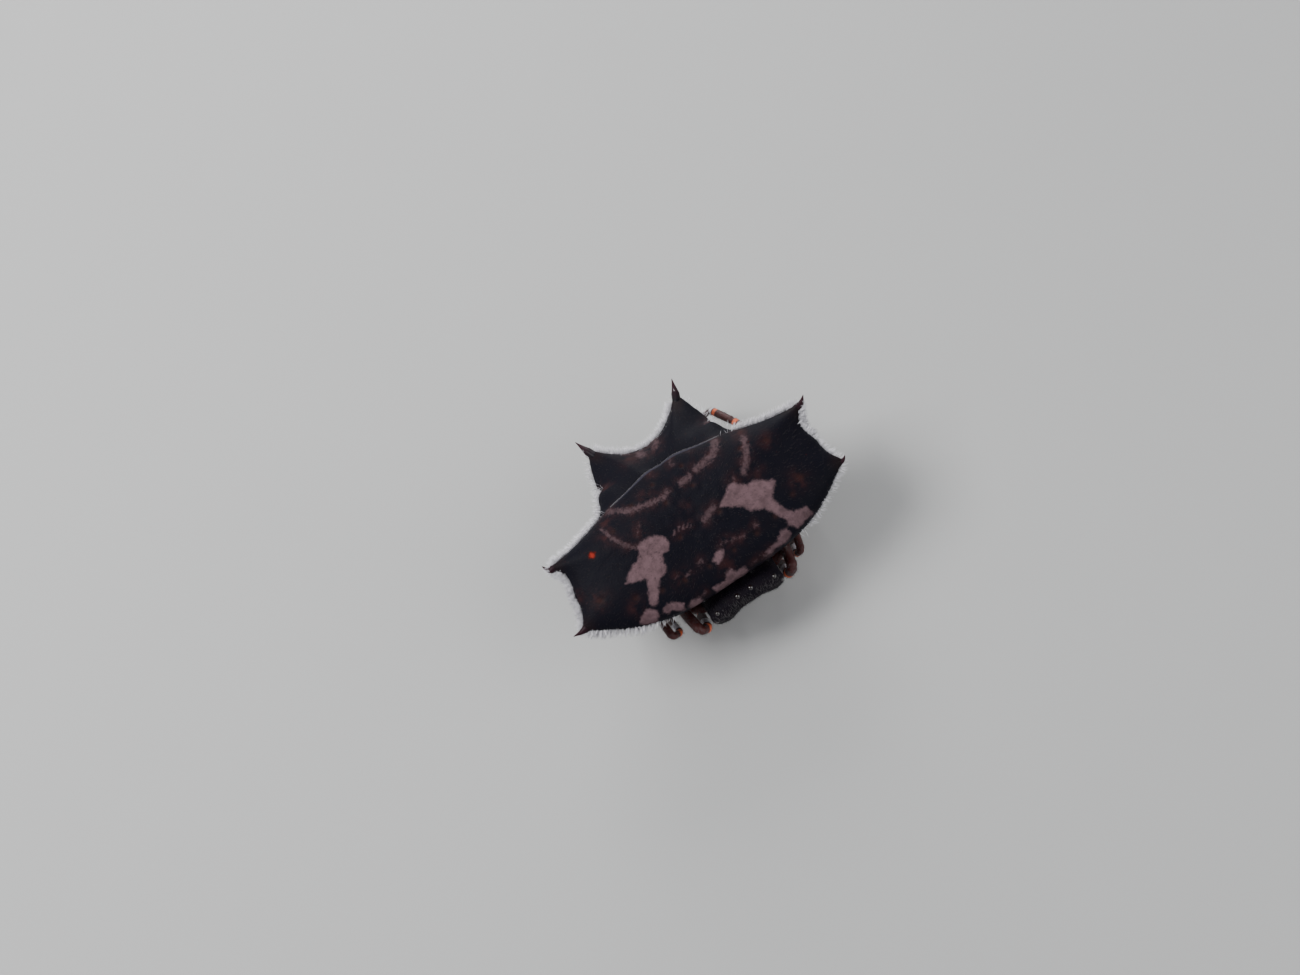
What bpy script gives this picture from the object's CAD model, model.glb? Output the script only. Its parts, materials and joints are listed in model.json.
"""Spiny orb weaver, adult female, as a still life-size model: skins, shell plates, eyes, coat and stage.

Every length below is in millimetres unless its name says otherwise. The disc frame is (lateral, ahead, up)
from the middle of the line between the two long side spines; the head faces -Y and the left side is +X.
"""

import json

import bpy
import numpy as np
from bpy.props import FloatProperty, FloatVectorProperty, IntProperty, PointerProperty
from mathutils import Matrix, Vector

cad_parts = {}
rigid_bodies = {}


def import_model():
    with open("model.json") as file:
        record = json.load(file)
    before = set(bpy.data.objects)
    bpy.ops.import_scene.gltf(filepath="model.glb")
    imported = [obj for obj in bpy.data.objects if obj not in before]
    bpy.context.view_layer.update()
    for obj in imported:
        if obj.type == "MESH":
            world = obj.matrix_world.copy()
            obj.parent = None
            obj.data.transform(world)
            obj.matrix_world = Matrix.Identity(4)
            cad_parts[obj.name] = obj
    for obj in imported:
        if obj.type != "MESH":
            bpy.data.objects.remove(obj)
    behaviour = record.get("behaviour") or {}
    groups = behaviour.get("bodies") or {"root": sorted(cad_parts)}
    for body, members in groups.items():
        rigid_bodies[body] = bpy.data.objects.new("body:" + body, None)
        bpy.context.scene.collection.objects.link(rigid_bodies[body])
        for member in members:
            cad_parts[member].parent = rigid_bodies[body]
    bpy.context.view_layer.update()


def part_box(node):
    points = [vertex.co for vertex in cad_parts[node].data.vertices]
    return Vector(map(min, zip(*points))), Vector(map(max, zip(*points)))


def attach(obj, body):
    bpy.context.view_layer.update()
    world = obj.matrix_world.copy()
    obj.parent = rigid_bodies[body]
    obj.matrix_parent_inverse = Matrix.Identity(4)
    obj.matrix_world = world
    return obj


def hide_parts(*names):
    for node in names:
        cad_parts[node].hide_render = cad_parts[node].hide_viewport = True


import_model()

bl_info = {
    "name": "Spiny orb weaver",
    "version": (1, 0, 0),
    "blender": (4, 5, 0),
    "location": "3D View > Sidebar > Spiny Orb Weaver",
    "description": "Dresses the solids of a spiny orb weaver with shell, skins, eyes and hair",
    "category": "Object",
}

MM = 0.001

# Eyes: place and radius on the left side. One solid's place tells how far the whole figure was moved
# to stand over the origin.
EYES = {
    "eye_front_median": ((0.27, -4.69, 2.4), 0.1),
    "eye_rear_median": ((0.27, -4.42, 2.8), 0.105),
    "eye_front_lateral": ((1.31, -4.62, 2.4), 0.085),
    "eye_rear_lateral": ((1.16, -4.5, 2.7), 0.09),
}
EYE_PLACES = [(np.array(place) * (side, 1, 1), radius)
              for place, radius in EYES.values() for side in (-1, 1)]
FIGURE_SHIFT = np.mean(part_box("eye_rear_median_left"), axis=0) / MM - EYES["eye_rear_median"][0]
FIGURE_SHIFT[2] = 0

# Abdomen: the sizes of the solid, taken over unchanged. Turns and lifts are degrees seen from the core.
DISC_HEIGHT = 3.9
DISC_PITCH = np.radians(8.0)
CORE = np.array([0, 1.6, 0])
SHIELD_HALF_WIDTH = 4.32
SHIELD_FRONT = 2.51
SHIELD_REAR = 2.46
SHIELD_TOP = 0.78
SHIELD_UNDER = 0.95
SHIELD_FRONT_POWER = 2.69
SHIELD_REAR_POWER = 1.44
SHIELD_EDGE_POWER = 2.3
BELLY = np.array([(0, -1.4, -1.5), (1.9, 2.1, 1.45)])
SPINNERET_CONE = np.array([(0, -1.5, -1.9), (0.8, 0.8, 1.25)])
PART_BLEND = 14
GROOVE = dict(turn=-90.0, lift=0.6, wide=42.0, tall=5.0, power=4, depth=0.62)
CONES = (
    dict(turn=11.4, lift=0.5, apex=5.4, behind=7.7, ahead=11.0, tall=10.0, power=0.79),
    dict(turn=-15.1, lift=1.0, apex=5.47, behind=7.4, ahead=6.3, tall=10.0, power=0.72),
    dict(turn=-68.5, lift=-15.3, apex=5.2, behind=6.7, ahead=30.0, tall=9.5, power=1.0),
)

# What the skin changes on the solid: how far each cone is blunted and over what angle, the web before a
# rear cone, the room that it leaves under the coat, its rim, pits and folds.
BLUNTING = (0.09, 0.24, 0.0)
BLUNT_ANGLE = 0.9
WEB = dict(turn=-50.0, lift=-8.0, wide=8.0, tall=7.0, power=2, height=0.3)
COAT_ROOM = 0.02
RIM_DROP = 0.02
PIT_DROP = 0.02
FOLD_HEIGHT = 0.012

# The skin's grid: how flat its directions are spread, and how far and over what angle they draw to an apex.
GRID_FLATNESS = 0.42
APEX_PULL = 0.5
APEX_PULL_ANGLE = 17

# Spines: tip, which cone and side, and how far from the tip the spine is as thick as it gets.
SPINES = (
    ((5.47, 2.58, 0.1), 0, 1, 0.42),
    ((-5.72, 2.67, 0.12), 0, -1, 0.5),
    ((5.46, 0.0, 0.15), 1, 1, 0.42),
    ((-5.34, -0.02, 0.15), 1, -1, 0.42),
    ((2.06, -3.58, -1.42), 2, 1, 0.6),
    ((-2.06, -3.58, -1.42), 2, -1, 0.6),
)
REAR_SPINE_LEAN = 0.05
SPINE_TIP_RADIUS = 0.012
SPINE_GROWTH = 0.14

# The photo looks at the disc 15 degrees off its axis, from the head's side.
SEEN_PITCH = np.radians(15.0)

# Pale patches of the back, as outlines in hundredths of a millimetre: lateral and down the view in turn.
PATCHES = (
    (-215, 116, -197, 109, -170, 111, -153, 118, -134, 129, -121, 147, -120, 168, -136, 184, -162, 185,
     -170, 203, -173, 229, -187, 245, -211, 248, -227, 267, -248, 292, -270, 316, -286, 315, -291, 299,
     -272, 266, -254, 234, -258, 222, -283, 217, -321, 201, -300, 182, -271, 166, -244, 156, -225, 143),
    (158, 111, 178, 116, 205, 148, 233, 147, 255, 155, 275, 175, 301, 184, 273, 210, 258, 228, 261, 258,
     275, 291, 291, 308, 311, 314, 338, 320, 343, 355, 306, 359, 273, 367, 251, 339, 254, 314, 234, 281,
     215, 248, 174, 228, 153, 198, 123, 181, 90, 157, 125, 136),
    (-340, 323, -319, 315, -300, 317, -282, 337, -287, 356, -302, 369, -326, 364, -347, 352, -353, 337),
    (193, 361, 219, 339, 241, 344, 243, 368, 223, 382, 187, 381, 141, 385, 136, 372),
    (-259, 340, -241, 334, -214, 344, -194, 366, -200, 385, -221, 381, -237, 363, -259, 364, -267, 354),
    (-186, 379, -165, 371, -135, 378, -135, 394, -155, 400, -180, 395),
    (-80, 375, -33, 376, -20, 358, 2, 354, 18, 372, 45, 374, 53, 387, 43, 398, 12, 398, -28, 396, -55, 402,
     -79, 394),
    (-14, 282, 10, 277, 19, 291, 3, 311, -21, 316, -33, 299),
)

# Brushed pale bands and dots: strength, half width, then the line that each follows, as an outline above.
BANDS = (
    (0.75, 0.094, (-289, 4, -279, 38, -258, 82, -225, 118)), (0.4, 0.066, (-172, 57, -202, 91)),
    (0.8, 0.117, (-239, -34, -212, -24, -178, 1, -133, 10, -100, 19, -54, 26)),
    (0.9, 0.12, (-54, 26, -32, 19)), (0.85, 0.153, (201, -35, 176, -7, 137, 1, 93, 7)),
    (0.9, 0.125, (60, 16, 25, 18)), (0.95, 0.136, (287, 10, 270, 53, 244, 83, 223, 104)),
    (0.35, 0.051, (275, 124, 258, 140)), (0.4, 0.125, (180, 103, 189, 116)),
    (0.55, 0.114, (38, -68, 35, -56)), (0.4, 0.102, (110, -74, 108, -64)),
    (0.35, 0.103, (-49, -74, -44, -65)), (0.9, 0.12, (21, 167, 34, 162, 54, 152, 71, 149)),
    (0.85, 0.047, (-93, 152, -82, 142)), (0.85, 0.047, (-72, 148, -62, 139)),
    (0.75, 0.047, (-56, 151, -45, 141)), (0.65, 0.042, (-42, 154, -32, 146)),
    (0.6, 0.038, (-33, 163, -23, 153)), (0.35, 0.068, (-9, 93, -5, 96)), (0.55, 0.063, (21, 268, 29, 263)),
    (0.55, 0.068, (38, 272, 48, 265)), (0.6, 0.074, (58, 276, 71, 273)), (0.7, 0.08, (89, 285, 102, 283)),
    (0.6, 0.097, (157, 276, 164, 277)), (0.75, 0.08, (-79, 281, -62, 275)),
    (0.65, 0.075, (-136, 292, -118, 286)), (0.5, 0.066, (-171, 278, -161, 273)),
    (0.6, 0.069, (-123, 379, -109, 371)), (0.8, 0.119, (128, 382, 149, 381)),
    (0.5, 0.079, (78, 382, 90, 378)), (0.85, 0.153, (-39, -145, -29, -140)),
    (0.75, 0.136, (17, -136, 33, -150)), (0.85, 0.148, (220, -102, 222, -94)),
    (0.6, 0.075, (-233, -117, -241, -99)),
)

# Sigilla, the shell's small pits: lateral, ahead, radius. Four stand alone, the red one first.
RED_PIT = (-3.66, 0.77, 0.13)
PITS = [RED_PIT, (3.5, 0.76, 0.13), (-4.25, 2.25, 0.14), (3.75, 2.5, 0.14)] + [
    (side * lateral, ahead, radius) for lateral, ahead, radius in (
        (0.55, 0.7, 0.08), (0.8, 2.0, 0.09), (0.5, 3.35, 0.08), (1.45, 3.3, 0.09), (2.3, 3.15, 0.1),
        (3.2, 2.85, 0.1), (0.6, -0.15, 0.08), (1.6, 0.05, 0.08), (2.6, 0.5, 0.09)) for side in (-1, 1)]

# Places where the shell is thin and glows red-brown: lateral, down the view, radius.
RUDDY = (
    (-4.28, 1.99, 0.35), (-3.31, 2.84, 0.35), (-4.79, 1.49, 0.22), (-2.04, -0.98, 0.3), (-2.4, -1.09, 0.25),
    (3.46, 0.55, 0.28), (1.82, 1.11, 0.3), (-0.72, -1.67, 0.4), (0.1, -1.62, 0.4), (1.9, -0.35, 0.3),
    (2.93, -0.2, 0.3), (-2.6, -0.1, 0.35), (-2.9, 0.3, 0.3), (-1.9, 0.8, 0.3), (-1.5, 2.9, 0.35),
    (3.6, 2.31, 0.35), (0.0, 3.4, 0.35), (-1.0, 0.0, 0.35),
)

# How wide the apexes' own colour is, and the crest's lift, its fall by the cube of the turn, and its width.
APEX_ANGLE = np.degrees(0.09)
CREST_LIFT = 9.5
CREST_FALL = 4.7e-5
CREST_WIDTH = 1.3

# Cephalothorax stations from the front: y, half width, lowest z, highest z and squareness.
CARAPACE = (
    (-4.74, 1.02, 2.08, 2.5, 3.2), (-4.7, 1.22, 1.98, 2.6, 3.5), (-4.6, 1.38, 1.88, 2.74, 3.6),
    (-4.3, 1.45, 1.8, 2.84, 3.4), (-3.9, 1.45, 1.74, 2.74, 3.0), (-3.5, 1.49, 1.7, 2.48, 2.6),
    (-3.0, 1.5, 1.72, 2.3, 2.4), (-2.6, 1.28, 1.72, 2.2, 2.2), (-2.42, 0.85, 1.76, 2.14, 2.0),
)
STERNUM = (
    (-3.96, 0.5, 1.3, 1.85, 3.0), (-3.86, 0.82, 1.15, 1.85, 3.6), (-3.2, 0.96, 1.08, 1.85, 4.0),
    (-2.5, 0.8, 1.1, 1.85, 3.6), (-2.2, 0.4, 1.25, 1.72, 3.0),
)
END_SHARES = np.array([0.02, 0.25, 0.5, 0.72, 0.88, 0.97])
END_LENGTH = 0.05
HEAD_HOLLOW = 0.08
WAIST = ((0, -2.6, 1.98), (0, -2.3, 2.0), (0, -2.0, 2.02))

# Legs in hundredths of a millimetre, each with its outward side as +X: x, y and z of coxa, trochanter,
# femur's end, patella's end, ankle and foot.
LEGS = {
    "1_left": (108, -374, 142, 212, -335, 170, 188, -444, 220, 164, -432, 160, 168, -359, 90, 148, -250, 0),
    "1_right": (108, -374, 142, 215, -330, 170, 198, -450, 220, 172, -438, 166, 170, -358, 90, 145, -250, 0),
    "2_left": (108, -320, 142, 285, -245, 140, 247, -400, 200, 227, -384, 148, 249, -300, 85, 230, -180, 0),
    "2_right": (108, -320, 142, 300, -240, 140, 292, -405, 195, 262, -390, 148, 272, -300, 85, 240, -180, 0),
    "3_left": (106, -266, 142, 200, -205, 142, 300, -190, 215, 340, -186, 195, 365, -160, 95, 350, -60, 0),
    "3_right": (106, -266, 142, 200, -205, 142, 300, -184, 215, 340, -174, 195, 360, -140, 95, 340, -40, 0),
    "4_left": (90, -216, 140, 142, -166, 140, 342, 42, 220, 305, 148, 205, 264, 242, 170, 205, 310, 0),
    "4_right": (90, -216, 140, 142, -166, 140, 275, -20, 200, 290, 25, 195, 210, 190, 110, 160, 260, 0),
}

# Radii of coxa, trochanter, femur, patella, tibia, metatarsus and tarsus, and each pair's share of them.
LEG_RADII = np.array([0.23, 0.22, 0.2, 0.185, 0.175, 0.13, 0.1])
LEG_GIRTH = {"1": 0.95, "2": 0.7, "3": 0.7, "4": 0.8}
LEG_FLATNESS = 0.94
FEMUR_BOW = (0, 0, 0.08)
CORNER_ROUNDING = 0.07
LEG_STEPS = 260
CLAW_DROP = 0.05
FOOT_HEIGHT = 0.004

# Jaws and palps: places and radii. Their joints lie at shares of the length.
CHELICERA = ((0.3, -4.15, 1.95, 0.2), (0.31, -4.12, 1.7, 0.23), (0.32, -4.1, 1.48, 0.24),
             (0.28, -4.08, 1.22, 0.16))
FANG_ROOT = np.array([0.28, -4.1, 1.16])
PALP = ((0.74, -3.78, 1.45, 0.16), (0.84, -3.9, 1.42, 0.17), (0.96, -4.08, 1.48, 0.18),
        (0.96, -4.16, 1.3, 0.17), (0.86, -4.14, 1.05, 0.11))
PALP_JOINTS = np.array([0.28, 0.66, 0.92])

# Hairs of the abdomen: count, share of the length set for the fringe or else for the back, how upright,
# thickness, paleness and how far they are drawn into tufts.
HAIRS = {
    "fringe": (14000, 1.0, 0.85, 1.45, 1.0, 0.7),
    "crest": (2600, 0.35, 0.75, 0.6, 0.2, 0.0),
    "back": (2200, 1.0, 0.3, 0.7, 0.02, 0.0),
    "belly": (3500, 1.4, 0.4, 0.8, 0.25, 0.0),
}
HEAD_HAIRS = 2600
LEG_HAIRS = 900
TUFT_SIZE = 0.16
HAIR_PATCH = 0.0016

# The photo's framing: image size, where the disc's middle lies in it, and its scale.
IMAGE_SIZE = (1300, 975)
DISC_PIXEL = (671.7, 482.6)
PIXEL_SIZE = 11.0 / 318.0
VIEW_ELEVATION = np.radians(67.0)
VIEW_ROLL = np.radians(33.4)
SENSOR_WIDTH = 36.0
FLOOR_SIZE = 800.0


# Settings


def colour_setting(name, description, default):
    return FloatVectorProperty(name=name, description=description, subtype="COLOR", default=default)


def length_setting(name, description, default):
    return FloatProperty(name=name, description=description, subtype="DISTANCE", unit="LENGTH",
                         default=default, precision=7)


def power_setting(name, description, default):
    return FloatProperty(name=name, description=description, unit="POWER", default=default, precision=3)


class ShellSettings(bpy.types.PropertyGroup):
    """Sizes and colours of the hard abdomen and head."""

    black: colour_setting("Black", "Ground colour of the shell", (0.004, 0.0044, 0.0088))
    pale: colour_setting("Pale patches", "Dusty colour of the patches", (0.118, 0.072, 0.08))
    ruddy: colour_setting("Thin shell", "Colour where the shell is thin", (0.05, 0.016, 0.015))
    spot: colour_setting("Red pit", "Colour of the one red pit", (0.27, 0.022, 0.013))
    cells: IntProperty(
        name="Cells", description="Grid cells along each sixth of the abdomen", default=118, min=20, max=125)
    grain: length_setting("Grain", "Height of the shell's fine grain", 0.000006)


class CoatSettings(bpy.types.PropertyGroup):
    """Length and colour of the hairs."""

    dark: colour_setting("Dark hair", "Colour of the hairs on the black", (0.02, 0.015, 0.016))
    colour: colour_setting("Hair", "Colour of the pale hairs", (0.93, 0.91, 0.95))
    fringe_length: length_setting("Fringe", "Length of the hairs at the edges", 0.00028)
    back_length: length_setting("Back", "Length of the hairs on the back", 0.0001)
    radius: length_setting("Thickness", "Radius of a hair at its root", 0.0000055)


class LegSettings(bpy.types.PropertyGroup):
    """Colours of the legs and palps."""

    red_brown: colour_setting("Segments", "Dark red-brown of the segments", (0.082, 0.019, 0.018))
    orange: colour_setting("Joints", "Orange of the joints", (0.68, 0.13, 0.045))
    band: colour_setting("Bands", "Bluish white of the bands", (0.62, 0.59, 0.63))


class StageSettings(bpy.types.PropertyGroup):
    """Floor, lights and lens."""

    floor: colour_setting("Floor", "Pale colour of the floor", (0.45, 0.45, 0.445))
    key: power_setting("Key light", "Power of the main light", 0.16)
    fill: power_setting("Fill light", "Power of the weak light", 0.05)
    rim: power_setting("Rim light", "Power of the light behind", 0.07)
    lens: FloatProperty(name="Lens", description="Focal length", subtype="DISTANCE_CAMERA", default=60.0)


# Surfaces as whole arrays


def bell(value, middle, width, power=2):
    """One at the middle, falling off as the exponential of minus a power of the distance in widths."""
    return np.exp(-(np.abs((value - middle) / width) ** power))


def past(value, level, width):
    """From 0 to 1 as the value passes the level, over about this width on each side."""
    return 1 / (1 + np.exp(np.clip((level - value) / width, -50, 50)))


def unit(vectors):
    """Vectors divided by their lengths."""
    return vectors / np.maximum(np.linalg.norm(vectors, axis=-1, keepdims=True), 1e-12)


def length_along(path):
    """How far along its path each point lies."""
    return np.r_[0, np.cumsum(np.linalg.norm(np.diff(path, axis=0), axis=1))]


def outward(points, faces):
    """The faces as they are, or turned round where the volume that they enclose comes out negative."""
    fans = [group[:, [0, i, i + 1]] for group in faces for i in range(1, group.shape[1] - 1)]
    first, second, third = points[np.concatenate(fans)].transpose(1, 0, 2)
    volume = np.einsum("ij,ij->i", first, np.cross(second, third)).sum()
    return faces if volume > 0 else [group[:, ::-1] for group in faces]


def make_mesh(name, points, faces, fields=None, patches=None):
    """A smooth mesh of points in millimetres, arrays of faces with 3 or 4 corners, and values by point."""
    mesh = bpy.data.meshes.new(name)
    corners = np.concatenate([group.ravel() for group in faces])
    sizes = np.concatenate([np.full(len(group), group.shape[1]) for group in faces])
    mesh.vertices.add(len(points))
    mesh.loops.add(len(corners))
    mesh.polygons.add(len(sizes))
    for items, label, values, kind in (
        (mesh.vertices, "co", points * MM, np.float32),
        (mesh.loops, "vertex_index", corners, np.int32),
        (mesh.polygons, "loop_start", np.r_[0, np.cumsum(sizes)[:-1]], np.int32),
        (mesh.polygons, "loop_total", sizes, np.int32),
        (mesh.polygons, "use_smooth", np.ones(len(sizes)), bool),
    ):
        items.foreach_set(label, values.astype(kind).ravel())
    mesh.update(calc_edges=True)
    for label, values in (fields or {}).items():
        mesh.attributes.new(label, "FLOAT", "POINT").data.foreach_set("value", values.astype(np.float32))
    if patches is not None:
        unwrap = mesh.uv_layers.new(name="OFBake")
        unwrap.data.foreach_set("uv", patches[corners].astype(np.float32).ravel())
    mesh.validate()
    return mesh


def add_piece(name, part, finish, nodes=(), patches=None):
    """Puts a part (points, faces, fields) in the scene as one piece, rides it on the one body and hides the
    solids that it stands for."""
    piece = bpy.data.objects.new(name, make_mesh(name, *part, patches))
    bpy.context.scene.collection.objects.link(piece)
    piece.data.materials.append(finish)
    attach(piece, "root")
    if nodes:
        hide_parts(*nodes)


def joined(parts):
    """One part from several with the same fields."""
    starts = np.cumsum([0] + [len(part[0]) for part in parts[:-1]])
    faces = [group + start for part, start in zip(parts, starts) for group in part[1]]
    fields = {label: np.concatenate([part[2][label] for part in parts]) for label in parts[0][2]}
    return np.concatenate([part[0] for part in parts]), faces, fields


def closed_grid(grid):
    """A grid of rings as points and faces: quads whose last column meets its first, and a fan at each end
    to a pole in the middle of the end ring."""
    rows, sides = grid.shape[:2]
    ring, after = np.arange(sides), (np.arange(sides) + 1) % sides
    start = np.arange(rows - 1)[:, None] * sides
    near, far = start + ring, start + after
    quads = np.stack([near, far, far + sides, near + sides], -1).reshape(-1, 4)
    last = (rows - 1) * sides
    fans = [np.stack([np.full(sides, rows * sides), after, ring], -1),
            np.stack([np.full(sides, rows * sides + 1), last + ring, last + after], -1)]
    points = np.concatenate([grid.reshape(-1, 3), grid[[0, -1]].mean(1)])
    return points, outward(points, [quads, *fans])


def tube(path, radii, sides, hint=(1, 0, 0), flatness=1.0, rounded=True, **fields):
    """A closed skin of rings square to a path, as a part. A ring's first axis is square to the hint and its
    second flattened, rounded ends shrink as half balls do, and the fields give one value for each ring."""
    if rounded:
        along = length_along(path)
        share = np.clip(np.minimum(along, along[-1] - along) / radii, 0, 1)
        radii = radii * np.sqrt(np.clip(share * (2 - share), 0.003, 1))
    tangent = unit(np.gradient(path, axis=0))
    across = unit(np.cross(tangent, hint))
    upright = np.cross(across, tangent) * flatness
    angle = np.linspace(0, 2 * np.pi, sides, endpoint=False)[None, :, None]
    spread = np.cos(angle) * across[:, None] + np.sin(angle) * upright[:, None]
    grid = path[:, None] + radii[:, None, None] * spread
    fields = {label: np.r_[np.repeat(given, sides), given[[0, -1]]] for label, given in fields.items()}
    return *closed_grid(grid), fields


def curve_through(knots, count):
    """A smooth curve through the knots: cubic between each two, with the mean slope of its sides at a knot.
    The first three columns give the place and set the spacing, and any others go along with it."""
    knots = np.asarray(knots, float)
    at = length_along(knots[:, :3])
    slope = np.gradient(knots, at, axis=0)
    along = np.linspace(0, at[-1], count)
    i = np.clip(np.searchsorted(at, along, side="right") - 1, 0, len(at) - 2)
    step = (at[i + 1] - at[i])[:, None]
    t = (along - at[i])[:, None] / step
    ends = (2 * t**3 - 3 * t**2 + 1) * knots[i] + (3 * t**2 - 2 * t**3) * knots[i + 1]
    return ends + step * ((t**3 - 2 * t**2 + t) * slope[i] + (t**3 - t**2) * slope[i + 1])


def softened(path, width):
    """A dense path with rounded corners: each point becomes the bell-weighted mean of its neighbours."""
    reach = int(3 * width)
    weights = np.exp(-0.5 * (np.arange(-reach, reach + 1) / width) ** 2)
    before = 2 * path[0] - path[reach:0:-1]
    after = 2 * path[-1] - path[-2:-reach - 2:-1]
    padded = np.concatenate([before, path, after])
    return np.stack([np.convolve(column, weights / weights.sum(), mode="valid") for column in padded.T], -1)


def cube_sphere(cells):
    """Unit directions on six square grids, one for each face of a cube, stitched where the faces meet."""
    line = np.tan(np.linspace(-1, 1, cells + 1) * np.pi / 4)
    first, second = np.meshgrid(line, line, indexing="ij")
    cell = np.arange(cells * (cells + 1)).reshape(cells, cells + 1)[:, :-1].ravel()
    quad = np.stack([cell, cell + cells + 1, cell + cells + 2, cell + 1], -1)
    ways, quads = [], []
    for axis in range(3):
        for sign in (1, -1):
            face = np.empty((cells + 1, cells + 1, 3))
            face[..., axis] = sign
            face[..., (axis + 1) % 3] = first
            face[..., (axis + 2) % 3] = sign * second
            quads.append(quad + len(ways) * (cells + 1) ** 2)
            ways.append(face.reshape(-1, 3))
    ways = unit(np.concatenate(ways))
    _, kept, index = np.unique(np.round(ways, 5), axis=0, return_index=True, return_inverse=True)
    return ways[kept], index.reshape(-1)[np.concatenate(quads)]


def ripples(points, wavelength, seed, waves=28):
    """A soft random height between about -1 and 1: the mean of waves that run in seeded directions."""
    draw = np.random.default_rng(seed)
    ways = unit(draw.normal(size=(waves, 3))) * 2 * np.pi / wavelength
    ways *= draw.uniform(0.7, 1.4, (waves, 1))
    return np.sin(points @ ways.T + draw.uniform(0, 2 * np.pi, waves)).sum(1) / np.sqrt(waves)


# Shape of the abdomen


def figure(points):
    """Points given in the source's own frame, moved as the whole figure was when it was centred."""
    return np.asarray(points, float) + FIGURE_SHIFT


def to_world(points):
    """Points of the disc's frame (lateral, ahead, up) in the model's frame."""
    lateral, ahead, up = np.asarray(points, float).T
    y = -ahead * np.cos(DISC_PITCH) - up * np.sin(DISC_PITCH)
    z = DISC_HEIGHT - ahead * np.sin(DISC_PITCH) + up * np.cos(DISC_PITCH)
    return figure(np.stack([lateral, y, z], -1))


def shield_reach(way):
    """Distance along each direction to a superellipsoid disc that is squarer in front than behind."""
    in_front = way[:, 1] > 0
    power = np.where(in_front, SHIELD_FRONT_POWER, SHIELD_REAR_POWER)
    half_length = np.where(in_front, SHIELD_FRONT, SHIELD_REAR)
    height = np.where(way[:, 2] > 0, SHIELD_TOP, SHIELD_UNDER)
    flat = (np.abs(way[:, 0]) / SHIELD_HALF_WIDTH) ** power + (np.abs(way[:, 1]) / half_length) ** power
    rise = np.abs(way[:, 2]) / height
    return (flat ** (SHIELD_EDGE_POWER / power) + rise**SHIELD_EDGE_POWER) ** (-1 / SHIELD_EDGE_POWER)


def egg_reach(way, egg):
    """Distance along each direction to the far side of an ellipsoid, or 0 where it is missed."""
    centre, axes = egg
    square = ((way / axes) ** 2).sum(-1)
    toward = (way * centre / axes**2).sum(-1)
    inside = toward**2 - square * (((centre / axes) ** 2).sum() - 1)
    reach = (toward + np.sqrt(np.maximum(inside, 0))) / square
    return np.where(inside > 0, np.maximum(reach, 0), 0)


def turn_and_lift(way):
    """Angles of each direction: toward the head from the nearer side, and up from the disc."""
    turn = np.degrees(np.arctan2(way[:, 1], np.abs(way[:, 0])))
    return turn, np.degrees(np.arcsin(np.clip(way[:, 2], -1, 1)))


def swell(way, place):
    """A bell around the turn and lift at which something lies on both sides."""
    turn, lift = turn_and_lift(way)
    around = bell(turn, place["turn"], place["wide"], place["power"])
    return around * bell(lift, place["lift"], place["tall"])


def angle_from(way, axis):
    """Degrees between each direction and an axis."""
    return np.degrees(np.arccos(np.clip(way @ axis, -1, 1)))


def body_reach(way):
    """Shield, belly and spinneret cone blended by a high power sum, with the hind groove sunk as a bell."""
    bodies = np.array([shield_reach(way), egg_reach(way, BELLY), egg_reach(way, SPINNERET_CONE)])
    largest = bodies.max(0)
    body = largest * ((bodies / largest) ** PART_BLEND).sum(0) ** (1 / PART_BLEND)
    return body - GROOVE["depth"] * swell(way, GROOVE)


def cone_axis(cone, side=1):
    """Direction of a cone's apex from the core."""
    turn, lift = np.radians(cone["turn"]), np.radians(cone["lift"])
    return np.array([side * np.cos(turn) * np.cos(lift), np.sin(turn) * np.cos(lift), np.sin(lift)])


def cone_axes():
    """Directions of all six apexes."""
    return [cone_axis(cone, side) for cone in CONES for side in (-1, 1)]


def cone_reach(way, cone):
    """What a hollow-flanked cone adds: its height times a bell of the angle, of its own power."""
    turn, lift = turn_and_lift(way)
    around, above = turn - cone["turn"], lift - cone["lift"]
    width = cone["behind"] + (cone["ahead"] - cone["behind"]) * past(around, 0, 0.3 + 0.25 * np.abs(above))
    away = np.hypot(around / width * np.cos(np.radians(lift)), above / cone["tall"])
    height = cone["apex"] - body_reach(cone_axis(cone)[None])[0]
    return height * bell(away, 0, 1, cone["power"])


def pit_depth(place):
    """How far each point lies in a pit of the back, from 0 at its rim to 1 on its floor."""
    away = [np.hypot(place[:, 0] - lateral, place[:, 1] - ahead) / radius for lateral, ahead, radius in PITS]
    return bell(np.min(away, axis=0), 0, 1) * (place[:, 2] > 0)


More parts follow.
